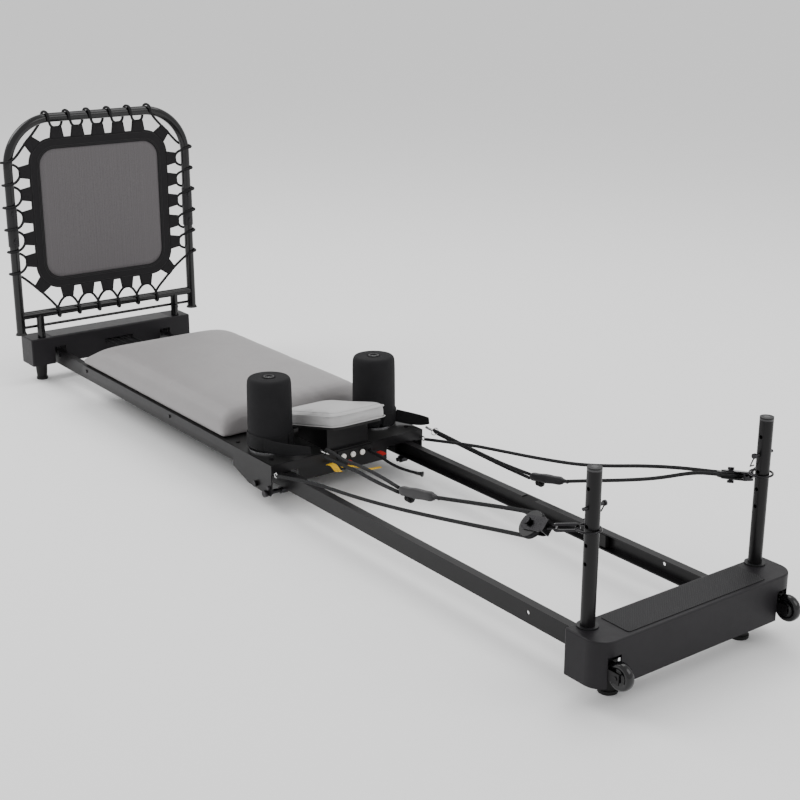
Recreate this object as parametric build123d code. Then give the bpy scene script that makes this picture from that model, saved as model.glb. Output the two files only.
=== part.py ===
from build123d import *
import math
import os

# Pilates reformer, millimetres. +X runs from the foot end to the head end, +Y to the far side,
# +Z up. The origin lies on the floor below the middle of the machine.

# ---------------------------------------------------------------- driving dimensions
FOOT_END = -1200.5            # outer face of the foot base
HEAD_END = 1161.5             # outer face of the head base
BASE_TOP = 130.0
HEAD_BASE = (86.0, 490.0, 45.0)    # depth, width, height of its underside above the floor
FOOT_BASE = (79.0, 504.0, 52.0)
SHEET = 3.0                   # wall of the base covers

RAIL_Y = 176.0                # outer face of each rail
RAIL_Z = (49.0, 87.0)
RAIL_FLANGE = 18.0
RAIL_WEB = 2.5
RAIL_LIP = 3.0
RAIL_X = (-1172.0, 1132.0)
RAIL_NOTCH = (512.0, 552.0)   # cut in the far rail's upper flange
RAIL_STOPS = [-850.0, 750.0]  # rubber blocks that end the carriage's travel

RISER_X = HEAD_END - 68.0
RISER_Y = 210.0
RISER_R = 12.7
RISER_TOP = 411.0
RISER_HOLES = [245.0, 278.0, 311.0, 344.0, 377.0]
PIN_Z = RISER_HOLES[3]
RING_Z = 304.0

CARRIAGE_X = (-879.5, 95.5)
CARRIAGE_Y = 210.0
CARRIAGE_Z = (88.0, 110.0)
DECK_Z = (101.0, 110.0)
ANGLE = 3.0                   # wall of the carriage angles
CROSS_X = [-820.0, -400.0, 40.0]   # flat bars under the deck
WHEEL_X = {"foot": -820.0, "head": 40.0}
WHEEL_R = 15.5
WHEEL_Z = RAIL_Z[0] + RAIL_LIP + WHEEL_R + 0.2

PAD_X = (-889.5, -119.5)
PAD_Y = 209.0
PAD_Z = (110.4, 178.0)
ROLLER_X = -11.5
ROLLER_Y = 145.0
ROLLER_R = 50.0
ROLLER_Z = (116.0, 278.0)
HEADREST_HINGE = (-87.5, 122.0)    # X and Z of the headrest's hinge line
HEADREST_SLOPE = 13.1
HEADREST_SIZE = (245.0, 146.0, 33.0)

HOOP_X = -1141.5
HOOP_Y = 272.0
HOOP_TOP = 745.0
HOOP_BEND = 130.0
HOOP_R = 12.7
HOOP_SPLIT = 455.0
HOOP_FOOT = 152.0
CROSSBAR_Z = 199.0
RETAINER_Z = 160.0
STUB_Y = 213.0                # short posts that plug into the foot base
MAT_Z = 478.0
MAT_PLANE = Plane(origin=(HOOP_X, 0, MAT_Z), x_dir=(0, 1, 0), z_dir=(1, 0, 0))
MAT_HALF = 212.0
MESH_HALF = 181.0
TAB_LENGTH = 30.0
TAB_PITCH = 62.0

PULLEYS = {                   # sheave centre, rise of its plane towards the middle in degrees
    "near": ((988.5, -245.0, 285.0), 45.0),
    "far": ((998.5, 240.0, 267.0), 12.0),
}
SHEAVE_R = 25.0
GROOVE_R = 19.0
ROPE_D = 7.5
WRAP_R = GROOVE_R + ROPE_D / 2 + 0.5
ANCHORS = {"near": (112.0, -204.0, 90.0), "far": (112.0, 206.0, 90.0)}
ADJUSTERS = {                 # rope hole ends, foot side then head side
    "near": ((598.0, -231.0, 219.0), (707.0, -232.0, 240.0)),
    "far": ((452.0, 234.0, 96.0), (556.0, 235.0, 116.0)),
}
CLIPS = {"near": (148.0, -101.0, 133.0), "far": (127.0, 226.0, 108.0)}

ROPE_OUT = {                  # from the carriage to the sheave
    "near": [(256, -214, 126), (420, -226, 150), (605, -238, 184), (806, -252.1, 228.5)],
    "far": [(262, 216, 118), (360, 222, 131), (498, 231, 149), (628, 240, 171), (812, 254.5, 225)],
}
ROPE_BACK = {                 # from the sheave to the adjuster
    "near": [(898, -225.1, 280.7), (800, -229, 260)],
    "far": [(930, 216, 256), (836, 223, 213), (750, 228, 181), (666, 231, 153)],
}
LOOP_UPPER = {                # from the adjuster to the clip
    "near": [(500, -205, 211), (380, -166, 186), (270, -135, 160)],
    "far": [(370, 236, 95), (260, 236, 98)],
}
LOOP_LOWER = {                # and back
    "near": [(268, -139, 150), (378, -171, 174), (498, -211, 198)],
    "far": [(262, 246, 88), (372, 246, 84)],
}

CORD_PLATE_Y = (-34.0, 62.0)
CORD_Y = [-20.0, 6.0, 32.0]   # hooked resistance cords
LOOSE_CORD_Y = 54.0
CORD_Z = 93.0
CORD_D = 7.0

TRANSPORT_X = 1175.5
TRANSPORT_Z = 72.0
TRANSPORT_R = 25.0
SIDES = {"near": -1, "far": 1}


# ---------------------------------------------------------------- helpers
def block(x, y, z):
    """Box between two limits on each axis."""
    size = [hi - lo for lo, hi in (x, y, z)]
    middle = [(hi + lo) / 2 for lo, hi in (x, y, z)]
    return Pos(*middle) * Box(*size)


def rod_x(x, y, z, radius):
    return Pos((x[0] + x[1]) / 2, y, z) * Rot(0, 90, 0) * Cylinder(radius, x[1] - x[0])


def rod_y(x, y, z, radius):
    return Pos(x, (y[0] + y[1]) / 2, z) * Rot(90, 0, 0) * Cylinder(radius, y[1] - y[0])


def rod_z(x, y, z, radius):
    return Pos(x, y, (z[0] + z[1]) / 2) * Cylinder(radius, z[1] - z[0])


def rod_between(start, end, radius):
    """Cylinder whose axis joins two points."""
    line = Line(start, end)
    return sweep(Plane(origin=line @ 0, z_dir=line % 0) * Circle(radius), line)


def far_copy(shape):
    """The same shape on the other side of the machine."""
    return mirror(shape, about=Plane.XZ)


def both(shape):
    return shape + far_copy(shape)


def handed(shape, side):
    """A near-side shape, mirrored for the far side."""
    return shape if side == "near" else far_copy(shape)


def save(name, *shapes):
    """One STEP file per node; several shapes stay separate solids of one group."""
    shape = shapes[0] if len(shapes) == 1 else Compound(children=list(shapes))
    export_step(shape, f"parts/{name}.step")


def pair(shape):
    """The near-side shape and its far-side twin, as two shapes."""
    return [shape, far_copy(shape)]


def corner_radii(points):
    """Arc at each corner: 0.45 of the shorter run over the tangent of half the turn."""
    radii = []
    for before, here, after in zip(points, points[1:], points[2:]):
        run_in = here - before
        run_out = after - here
        half_turn = math.radians(run_in.get_angle(run_out)) / 2
        radii.append(0.45 * min(run_in.length, run_out.length) / math.tan(half_turn))
    return radii


def cord(name, points, diameter):
    """Tube of a cord along straight runs joined by tangent arcs; its figures are printed."""
    points = [Vector(*p) for p in points]
    if len(points) > 2:
        radii = corner_radii(points)
        path = FilletPolyline(*points, radius=radii)
        print(name, "radii", [round(r) for r in radii])
    else:
        path = Line(*points)
    tube = sweep(Plane(origin=path @ 0, z_dir=path % 0) * Circle(diameter / 2), path)
    expected = math.pi * diameter ** 2 / 4 * path.length
    print(name, "length", round(path.length), "volume ratio", round(tube.volume / expected, 4))
    return tube


# ---------------------------------------------------------------- bases
def base_cover(outer, size, inward, corner, window_top):
    """Open-bottomed shell: rounded box less its inside and the rail windows."""
    depth, width, bottom = size
    centre_x = outer + inward * depth / 2
    height = BASE_TOP - bottom
    body = Pos(centre_x, 0, bottom + height / 2) * Box(depth, width, height)
    outer_edges = [e for e in body.edges().filter_by(Axis.Z) if abs(e.center().X - outer) < 1]
    body = fillet(outer_edges, corner)
    inner_edges = [e for e in body.edges().filter_by(Axis.Z) if abs(e.center().X - outer) > depth - 1]
    body = fillet(inner_edges, 4)
    body = fillet(body.faces().sort_by(Axis.Z)[-1].edges(), 3)
    inside = offset_box(outer, size, inward, corner)
    shell = body - inside
    inner_face = outer + inward * depth
    window_x = sorted((inner_face - inward * 10, inner_face + inward * 5))
    window = block(window_x, (-RAIL_Y - 8, -RAIL_Y + RAIL_FLANGE + 8), (bottom - 1, window_top))
    return shell - both(window)


def offset_box(outer, size, inward, corner):
    """The hollow inside a base cover."""
    depth, width, bottom = size
    height = BASE_TOP - SHEET - bottom
    centre_x = outer + inward * depth / 2
    body = Pos(centre_x, 0, bottom + height / 2 - 1) * Box(depth - 2 * SHEET, width - 2 * SHEET, height + 2)
    inner_edges = [e for e in body.edges().filter_by(Axis.Z) if abs(e.center().X - outer) < depth / 2]
    return fillet(inner_edges, max(corner - SHEET, 1))


def head_base():
    cover = base_cover(HEAD_END, HEAD_BASE, -1, 36, 96)
    cover -= both(rod_z(RISER_X, -RISER_Y, (110, 140), RISER_R + 0.8))
    wheel_pocket = block((HEAD_END - 12, HEAD_END + 2), (-RISER_Y - 14, -RISER_Y + 14), (40, 102))
    cover -= both(wheel_pocket)
    save("head_base_cover", cover)

    beam = block((1108, 1148), (-225, 225), (87, 117))
    beam -= block((1110.5, 1145.5), (-226, 226), (89.5, 114.5))
    socket = rod_z(RISER_X, -RISER_Y, (60, 122), 14.9)
    gusset = block((RISER_X, 1112), (-RISER_Y - 3, -RISER_Y + 3), (92, 112))
    frame = beam + both(socket + gusset) - both(rod_z(RISER_X, -RISER_Y, (59, 123), RISER_R + 0.05))
    save("head_frame", frame)

    tread = block((HEAD_END - 78, HEAD_END - 10), (-172, 172), (BASE_TOP, BASE_TOP + 1.2))
    save("head_tread", fillet(tread.edges().filter_by(Axis.Z), 6))


def foot_base():
    cover = base_cover(FOOT_END, FOOT_BASE, 1, 4, 100)
    cover -= both(rod_z(HOOP_X, -STUB_Y, (110, 140), 12.2))
    cover -= block((-1126, -1120), (CORD_Y[0] - 8, LOOSE_CORD_Y + 8), (CORD_Z - 6, CORD_Z + 6))
    save("foot_base_cover", cover)

    beam = block((-1190, -1156), (-235, 235), (89, 117))
    beam -= block((-1187.5, -1158.5), (-236, 236), (91.5, 114.5))
    tie = block((-1157, -1130), (-RAIL_Y, -RAIL_Y + 16), (87, 89.5))
    socket = rod_z(HOOP_X, -STUB_Y, (86, 126), 14.2)
    anchor_bar = block((-1156, -1150), (-60, 90), (86, 100))
    frame = beam + both(socket) + both(tie) + anchor_bar
    frame -= both(rod_z(HOOP_X, -STUB_Y, (88, 127), 11.3))
    for y in CORD_Y + [LOOSE_CORD_Y]:
        frame -= rod_x((-1157, -1149), y, CORD_Z, CORD_D / 2 + 0.3)
    save("foot_frame", frame)

    panel = block((FOOT_END + 5, FOOT_END + 40), (-188, 188), (BASE_TOP, BASE_TOP + 0.8))
    panel += block((FOOT_END + 40, FOOT_END + 73), (-188, 188), (BASE_TOP, BASE_TOP + 0.8))
    save("foot_top_panel", panel)

    leg = Pos(-1168, -210, 29) * Cone(14, 18, 46) + rod_z(-1168, -210, (0, 6), 16)
    leg += rod_z(-1168, -210, (52, 89), 10)
    foot = rod_z(1105.5, -167, (6, RAIL_Z[0]), 15) + rod_z(1105.5, -167, (0, 6), 18)
    save("floor_feet", *pair(leg), *pair(foot))


# ---------------------------------------------------------------- rails
def rails():
    web_y = (-RAIL_Y, -RAIL_Y + RAIL_WEB)
    flange_y = (-RAIL_Y + RAIL_WEB, -RAIL_Y + RAIL_FLANGE)
    upper_z = (RAIL_Z[1] - RAIL_LIP, RAIL_Z[1])
    for side in SIDES:
        web = block(RAIL_X, web_y, RAIL_Z)
        web -= rod_y(908.5, (-RAIL_Y - 1, -RAIL_Y + RAIL_WEB + 1), 70, 4)
        lower = block(RAIL_X, flange_y, (RAIL_Z[0], RAIL_Z[0] + RAIL_LIP))
        upper = [block(RAIL_X, flange_y, upper_z)]
        if side == "far":
            upper = [block((RAIL_X[0], RAIL_NOTCH[0]), flange_y, upper_z)]
            upper += [block(RAIL_NOTCH, (flange_y[0], flange_y[0] + 2), upper_z)]
            upper += [block((RAIL_NOTCH[1], RAIL_X[1]), flange_y, upper_z)]
        save(f"rail_{side}", *[handed(part, side) for part in [web, lower] + upper])

    stops = []
    for x in RAIL_STOPS:
        stops += pair(fillet(block((x - 12, x + 12), (-172, -160), (54, 82)).edges(), 2))
    save("rail_stops", *stops)

    fixings = pair(block((1046, 1075), (-173, -154), (52.2, 55)))
    fixings += pair(block((1046, 1075), (-156.5, -154), (55, 80)))
    for x, low, top in ((1120, 87.0, 117.0), (-1143, 84.0, 89.5)):
        fixings += pair(rod_z(x, -167, (top, top + 5), 6.5))
        fixings += pair(rod_z(x, -167, (low - 8, low - 3), 6))
    for x in (-1112, 1060):
        fixings += pair(rod_y(x, (-RAIL_Y - 4, -RAIL_Y), 76, 6))
    save("rail_fixings", *fixings)


# ---------------------------------------------------------------- risers and pulleys
def risers():
    post = rod_z(RISER_X, -RISER_Y, (62, RISER_TOP), RISER_R)
    post -= rod_z(RISER_X, -RISER_Y, (61, RISER_TOP + 1), RISER_R - 1.8)
    for z in RISER_HOLES:
        post -= rod_y(RISER_X, (-RISER_Y - 20, -RISER_Y + 20), z, 3.6)
    save("risers", *pair(post))

    for side in SIDES:
        pin = rod_y(RISER_X, (-RISER_Y - 22, -RISER_Y + 24), PIN_Z, 3.1)
        pin += rod_y(RISER_X, (-RISER_Y + 24, -RISER_Y + 28), PIN_Z, 5)
        bail_points = [
            (RISER_X, -RISER_Y + 26, PIN_Z - 3), (RISER_X - 6, -RISER_Y + 25, PIN_Z - 16),
            (RISER_X - 17, -RISER_Y + 14, PIN_Z - 27), (RISER_X - 20, -RISER_Y, PIN_Z - 29),
        ]
        for start, end in zip(bail_points, bail_points[1:]):
            pin += rod_between(start, end, 1.2) + Pos(*end) * Sphere(1.2)
        save(f"height_pin_{side}", handed(pin, side))

    cap = rod_z(RISER_X, -RISER_Y, (RISER_TOP, RISER_TOP + 2), RISER_R)
    cap += rod_z(RISER_X, -RISER_Y, (RISER_TOP - 10, RISER_TOP), RISER_R - 1.8)
    collar = rod_z(RISER_X, -RISER_Y, (BASE_TOP, BASE_TOP + 2.5), 19)
    collar -= rod_z(RISER_X, -RISER_Y, (BASE_TOP - 1, BASE_TOP + 4), RISER_R + 0.2)
    save("riser_trim", *pair(cap), *pair(collar))


def pulley_plane(side):
    """Plane of a sheave: X towards its riser, Y to the rope's return side, Z along the axle."""
    centre, roll = PULLEYS[side]
    forward = (Vector(*centre) - Vector(*ANCHORS[side])).normalized()
    up = (Vector(0, 0, 1) - forward * forward.Z).normalized()
    inward = up.cross(forward) * -SIDES[side]
    back = inward * math.cos(math.radians(roll)) + up * math.sin(math.radians(roll))
    return Plane(origin=centre, x_dir=forward, z_dir=forward.cross(back))


def pulley_block(plane):
    """U-bracket with two cheeks and a web, and the axle bolt through it."""
    cheek = Pos(12, 0, 0) * extrude(SlotOverall(62, 28), 2)
    bracket = Pos(0, 0, 6.2) * cheek + Pos(0, 0, -8.2) * cheek + Pos(41, 0, 0) * Box(4, 24, 16.4)
    bracket -= Cylinder(4, 40)
    bolt = Cylinder(4, 24) + Pos(0, 0, 10.5) * extrude(RegularPolygon(7, 6), 5)
    bolt += Pos(0, 0, -14) * extrude(RegularPolygon(6.5, 6), 5)
    return plane * bracket, plane * bolt


def tether(plane, side):
    """Ring round the riser, the quick link on it, and the lug that joins the link to the block."""
    post = Vector(RISER_X, SIDES[side] * RISER_Y, RING_Z)
    web = (plane * Pos(42, 0, 0)).position
    flat = Vector(web.X - post.X, web.Y - post.Y, 0).normalized()
    ring_centre = post + flat * 5.2
    ring = Pos(*ring_centre) * Torus(20.5, 2.1)
    link_end = ring_centre + flat * 16
    pull = (link_end - web).normalized()
    level = Plane(origin=web, x_dir=pull, z_dir=pull.cross(Vector(0, 0, 1)).cross(pull))
    lug = level * (Pos(7, 0, 0) * Box(15, 12, 3) - Pos(9.5, 0, 0) * Cylinder(3.4, 4))
    eye = web + pull * 9.5
    run = (link_end - eye).length
    upright = Plane(origin=(eye + link_end) * 0.5, x_dir=pull, z_dir=pull.cross(Vector(0, 0, 1)))
    link = extrude(SlotOverall(run + 4, 15) - SlotOverall(run - 4, 7), 2, both=True)
    return lug, ring, upright * link


def pulleys():
    for side in SIDES:
        plane = pulley_plane(side)
        groove = Cylinder(SHEAVE_R + 1, ROPE_D + 1.2) - Cylinder(GROOVE_R, ROPE_D + 1.2)
        sheave = Cylinder(SHEAVE_R, 11) - groove - Cylinder(4.1, 12)
        save(f"sheave_{side}", plane * sheave)
        bracket, bolt = pulley_block(plane)
        lug, ring, link = tether(plane, side)
        save(f"pulley_hanger_{side}", bracket + lug, bolt, ring, link)


# ---------------------------------------------------------------- carriage
def carriage_frame():
    x_foot, x_head = CARRIAGE_X
    inner_x = (x_foot + ANGLE, x_head - ANGLE)
    ledge_z = (DECK_Z[0] - ANGLE, DECK_Z[0])
    members = pair(block(inner_x, (-CARRIAGE_Y, -CARRIAGE_Y + ANGLE), CARRIAGE_Z))
    members += pair(block((x_foot + 25, x_head - 25), (-CARRIAGE_Y + ANGLE, -CARRIAGE_Y + 25), ledge_z))
    for wall_x in ((x_foot, inner_x[0]), (inner_x[1], x_head)):
        wall = block(wall_x, (-CARRIAGE_Y, CARRIAGE_Y), CARRIAGE_Z)
        for y in CORD_Y + [LOOSE_CORD_Y]:
            wall -= rod_x((wall_x[0] - 1, wall_x[1] + 1), y, CORD_Z, CORD_D / 2 + 0.6)
        members.append(wall)
    for ledge_x in ((inner_x[0], x_foot + 25), (x_head - 25, inner_x[1])):
        members.append(block(ledge_x, (-CARRIAGE_Y + ANGLE, CARRIAGE_Y - ANGLE), ledge_z))
    for x in CROSS_X:
        members.append(block((x - 28, x + 28), (-CARRIAGE_Y + 25, CARRIAGE_Y - 25), ledge_z))
    save("carriage_frame", *members)

    deck_x = (x_foot + ANGLE + 0.5, x_head - ANGLE - 0.5)
    deck = block(deck_x, (-CARRIAGE_Y + ANGLE + 0.5, CARRIAGE_Y - ANGLE - 0.5), DECK_Z)
    save("deck_board", deck)

    screws = []
    for x in (x_foot + 25, -380):
        screws += pair(rod_y(x, (-CARRIAGE_Y - 2.5, -CARRIAGE_Y), 97, 4.5))
    for x in (60, -85):
        screws += pair(rod_z(x, -188, (DECK_Z[1], DECK_Z[1] + 2.5), 5))
    save("carriage_screws", *screws)


def running_gear():
    plates = []
    axles = []
    for end, x in WHEEL_X.items():
        plate = block((x - 26, x + 26), (-154, -151), (56, DECK_Z[0] - ANGLE))
        plate += block((x - 26, x + 26), (-151, -126), (DECK_Z[0] - ANGLE - 3, DECK_Z[0] - ANGLE))
        plate -= rod_y(x, (-160, -140), WHEEL_Z, 4.05)
        plates += pair(plate)
        axles += pair(rod_y(x, (-172.5, -146), WHEEL_Z, 4) + rod_y(x, (-146, -142), WHEEL_Z, 7))
        wheel = fillet(rod_y(x, (-171, -158.8), WHEEL_Z, WHEEL_R).edges(), 1.2)
        wheel -= rod_y(x, (-172, -158), WHEEL_Z, 4.06)
        save(f"carriage_wheels_{end}", *pair(wheel))
    save("wheel_brackets", *plates)
    save("wheel_axles", *axles)

    outline = Polyline((-72, 88), (-72, 62), (-4, 40), (88, 36), (94, 44), (94, 88), close=True)
    hanger = Pos(0, -CARRIAGE_Y + 3, 0) * extrude(Plane.XZ * make_face(outline), 3)
    hanger += block((-72, 94), (-CARRIAGE_Y + 1, -CARRIAGE_Y + 20), (85, 88))
    hanger -= rod_y(75, (-215, -200), 40, 5.1)
    save("side_hangers", *pair(hanger))

    roller = rod_y(75, (-176, -158), 40, 8.6) - rod_y(75, (-180, -150), 40, 5)
    bolt = rod_y(75, (-215, -150), 40, 5) + rod_y(75, (-219, -210), 40, 8)
    nuts = rod_y(30, (-217, -210), 50, 7) + rod_y(86, (-216, -210), 56, 5)
    save("lift_guides", *pair(roller), *pair(bolt), *pair(nuts))


def padding():
    (x_foot, x_head), (low, top) = PAD_X, PAD_Z
    lengthwise = [(x_foot, low), (x_foot, 122), (x_foot + 50, 150), (x_foot + 120, 171), (x_foot + 195, top)]
    lengthwise += [(x_head - 45, top), (x_head - 9, 160), (x_head, low)]
    crosswise = [(-PAD_Y, low), (-PAD_Y, 120), (-PAD_Y + 6, 137), (-PAD_Y + 19, 157), (-PAD_Y + 38, 171)]
    crosswise += [(-PAD_Y + 66, top)]
    crosswise += [(-y, z) for y, z in reversed(crosswise)]
    pad = extrude(Plane.XZ * make_face(Polyline(*lengthwise, close=True)), PAD_Y, both=True)
    pad &= extrude(Plane.YZ * make_face(Polyline(*crosswise, close=True)), 1000, both=True)
    save("main_pad", fillet(pad.edges().filter_by(Axis.Z).group_by(Axis.X)[0], 14))

    hinge_x, hinge_z = HEADREST_HINGE
    length, width, thick = HEADREST_SIZE
    tilt = Pos(hinge_x, 0, hinge_z) * Rot(0, -HEADREST_SLOPE, 0)
    cushion = Pos(length / 2, 0, thick / 2 + 6.2) * Box(length, width, thick)
    cushion = fillet(cushion.edges().filter_by(Axis.Z), 28)
    cushion = fillet(cushion.faces().sort_by(Axis.Z)[-1].edges(), 7)
    save("headrest_pad", tilt * cushion)
    board = Pos(length / 2, 0, 3) * Box(length - 24, width - 16, 6)
    board = fillet(board.edges().filter_by(Axis.Z), 20)
    barrel = Pos(14, 0, -4.6) * Rot(90, 0, 0) * Cylinder(4.5, width - 40)
    barrel += Pos(14, 0, -1.5) * Box(9, width - 40, 3.2)
    barrel -= Pos(14, 0, -4.6) * Rot(90, 0, 0) * Cylinder(2.6, width)
    save("headrest_board", tilt * (board + barrel))

    pivot = tilt * Pos(14, 0, -4.6)
    pin = pivot * Rot(90, 0, 0) * Cylinder(2.5, width - 4)
    ear_x = (pivot.position.X - 12, pivot.position.X + 12)
    ear = block(ear_x, (-70.5, -66.5), (DECK_Z[1], pivot.position.Z + 4.9))
    ear += block(ear_x, (-88, -66.5), (DECK_Z[1], DECK_Z[1] + 2.5))
    ear -= pivot * Rot(90, 0, 0) * Cylinder(2.55, width)
    save("headrest_hinge", pin, *pair(ear))

    rise = math.tan(math.radians(HEADREST_SLOPE))
    low = hinge_z + rise * 55 - 0.7
    high = hinge_z + rise * 175 - 0.7
    near_x = hinge_x + 55
    far_x = hinge_x + 175
    profile = Polyline((near_x, DECK_Z[1]), (near_x, low), (far_x, high), (far_x, DECK_Z[1]), close=True)
    wedge = extrude(Plane.XZ * make_face(profile), 56, both=True)
    hollow = block((hinge_x + 60, hinge_x + 170), (-52, 52), (DECK_Z[1] - 1, low - 4))
    save("headrest_wedge", wedge - hollow)


def shoulder_rests():
    foam = rod_z(ROLLER_X, -ROLLER_Y, ROLLER_Z, ROLLER_R)
    foam = fillet(foam.edges(), 7) - rod_z(ROLLER_X, -ROLLER_Y, (100, 300), 13)
    save("shoulder_rollers", *pair(foam))
    post = rod_z(ROLLER_X, -ROLLER_Y, (DECK_Z[1] + 3, ROLLER_Z[1] - 3), 12.7)
    post -= rod_z(ROLLER_X, -ROLLER_Y, (DECK_Z[1] + 4, ROLLER_Z[1]), 10.9)
    flange = rod_z(ROLLER_X, -ROLLER_Y, (DECK_Z[1], DECK_Z[1] + 3), 50)
    cap = rod_z(ROLLER_X, -ROLLER_Y, (ROLLER_Z[1] - 3, ROLLER_Z[1] - 1), 12.6)
    save("shoulder_posts", *pair(post), *pair(flange), *pair(cap))

    straps = [shoulder_strap("near", 40, 134), shoulder_strap("far", 16, 131)]
    save("shoulder_straps", *straps)


def shoulder_strap(side, back_off, height):
    """Webbing band round the foot of a roller, with a tail that reaches the rope clip."""
    sign = SIDES[side]
    outer = rod_z(ROLLER_X, -ROLLER_Y, (117, 152), ROLLER_R + 4)
    core = rod_z(ROLLER_X, -ROLLER_Y, (100, 300), ROLLER_R + 0.3)
    clip = Vector(*CLIPS[side])
    start = Vector(ROLLER_X + 38, sign * ROLLER_Y + 36, height)
    end = Vector(clip.X - back_off, clip.Y - sign * 6, height)
    run = end - start
    turn = math.degrees(math.atan2(run.Y, run.X))
    tail = Pos(*((start + end) * 0.5)) * Rot(0, 0, turn) * Box(run.length, 3, 30)
    return handed(outer, side) + tail - handed(core, side)


def cord_hardware():
    x_head = CARRIAGE_X[1]
    plate = block((x_head, x_head + 3), CORD_PLATE_Y, (84, 106))
    for y in CORD_Y + [LOOSE_CORD_Y]:
        plate -= rod_x((x_head - 1, x_head + 4), y, CORD_Z, CORD_D / 2 + 0.6)
    cross = block((x_head - 26, x_head - 23), (-122, 122), (48, DECK_Z[0] - ANGLE))
    cross -= block((x_head - 27, x_head - 22), (-30, 64), (84, DECK_Z[0] - ANGLE + 1))
    save("cord_plates", plate, cross)

    ends = [rod_x((x_head + 3, x_head + 7), y, CORD_Z, 6.2) for y in CORD_Y]
    tip = Pos(x_head + 137, LOOSE_CORD_Y + 41, CORD_Z - 27) * Rot(0, 0, 24) * Rot(0, 90, 0) * Cylinder(7, 5)
    save("cord_ends", *ends, tip)

    hooked = []
    for y in CORD_Y:
        hooked.append(cord("resistance_cords", [(-1155, y, CORD_Z), (x_head + 2.5, y, CORD_Z)], CORD_D))
    save("resistance_cords", *hooked)
    loose = [
        (-1155, LOOSE_CORD_Y, CORD_Z), (x_head + 26, LOOSE_CORD_Y, CORD_Z),
        (x_head + 66, LOOSE_CORD_Y + 8, CORD_Z - 15), (x_head + 103, LOOSE_CORD_Y + 26, CORD_Z - 26),
        (x_head + 134, LOOSE_CORD_Y + 40, CORD_Z - 27),
    ]
    save("loose_cord", cord("loose_cord", loose, CORD_D))

    red = block((x_head + 3.2, x_head + 20), (-18, -1), (80, 82))
    red_far = block((x_head + 3.2, x_head + 22), (66, 92), (82, 84))
    yellow = block((x_head + 4, x_head + 44), (-72, -52), (82, 85))
    ribbon = Pos(x_head + 34, 10, 70) * Rot(0, 18, 74) * Box(100, 9, 2)
    save("pull_tabs", red, red_far, yellow, ribbon)


# ---------------------------------------------------------------- ropes
def sheave_wrap(side):
    """Rope corners round a sheave: a half turn as three equal bends."""
    plane = pulley_plane(side)
    reach = WRAP_R / math.cos(math.radians(30))
    corners = []
    for angle in (-60, 0, 60):
        x = reach * math.cos(math.radians(angle))
        y = reach * math.sin(math.radians(angle))
        corners.append(tuple((plane * Pos(x, y, 0)).position))
    return corners


def clip_directions(side):
    """Away from the rope, and across its two strands, where the loop meets its clip."""
    first = Vector(*LOOP_UPPER[side][-1])
    last = Vector(*LOOP_LOWER[side][0])
    away = (Vector(*CLIPS[side]) - (first + last) * 0.5).normalized()
    spread = first - last
    return away, (spread - away * spread.dot(away)).normalized()


def clip_bend(side):
    """The loop's corners round the eye of its clip."""
    clip = Vector(*CLIPS[side])
    away, across = clip_directions(side)
    bend = [clip + across * 9 - away * 9, clip + across * 8 + away * 3.5]
    bend += [clip - across * 8 + away * 3.5, clip - across * 9 - away * 9]
    return [tuple(p) for p in bend]


def adjuster(side):
    """Moulded cleat with a horn that jams the rope."""
    foot_hole, head_hole = [Vector(*p) for p in ADJUSTERS[side]]
    bar = head_hole - foot_hole
    plane = Plane(origin=foot_hole + bar * 0.5, x_dir=Vector(0, 1, 0), z_dir=bar)
    cleat = fillet((plane * Box(13, 19, bar.length - 1)).edges(), 4)
    return cleat + plane * Pos(0, -9, bar.length / 2 - 14) * Rot(-35, 0, 0) * Box(9, 5, 24)


def rope_clip(side):
    """Snap clip: a shank ending in the eye that the rope loop passes through."""
    away, across = clip_directions(side)
    clip = Vector(*CLIPS[side])
    shank = rod_between(tuple(clip + away * 12), tuple(clip + away * 34), 3)
    eye = Plane(origin=clip + away * 4, z_dir=across) * Torus(9, 1.3)
    return eye + shank


def rope_eye(side):
    """Eye bolt in the carriage's head angle."""
    x, y, z = ANCHORS[side]
    ring = Pos(x - 7.5, y, z) * Rot(90, 0, 0) * Torus(5, 1.5)
    return ring + rod_x((CARRIAGE_X[1], x - 12), y, z, 1.5)


def ropes():
    for side in SIDES:
        foot_hole, head_hole = [Vector(*p) for p in ADJUSTERS[side]]
        outward = (head_hole - foot_hole).normalized()
        finish = tuple(head_hole + outward * 1.5)
        route = [ANCHORS[side]] + ROPE_OUT[side] + sheave_wrap(side) + ROPE_BACK[side] + [finish]
        save(f"rope_{side}", cord(f"rope_{side}", route, ROPE_D))

        upper_end = tuple(foot_hole - outward * 2.4 + Vector(0, 0, 4.6))
        lower_end = tuple(foot_hole - outward * 2.4 - Vector(0, 0, 4.6))
        loop = [upper_end] + LOOP_UPPER[side] + clip_bend(side) + LOOP_LOWER[side] + [lower_end]
        save(f"rope_loop_{side}", cord(f"rope_loop_{side}", loop, ROPE_D))
        save(f"rope_adjuster_{side}", adjuster(side))
    save("rope_hardware", rope_clip("near"), rope_clip("far"), rope_eye("near"), rope_eye("far"))


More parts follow.
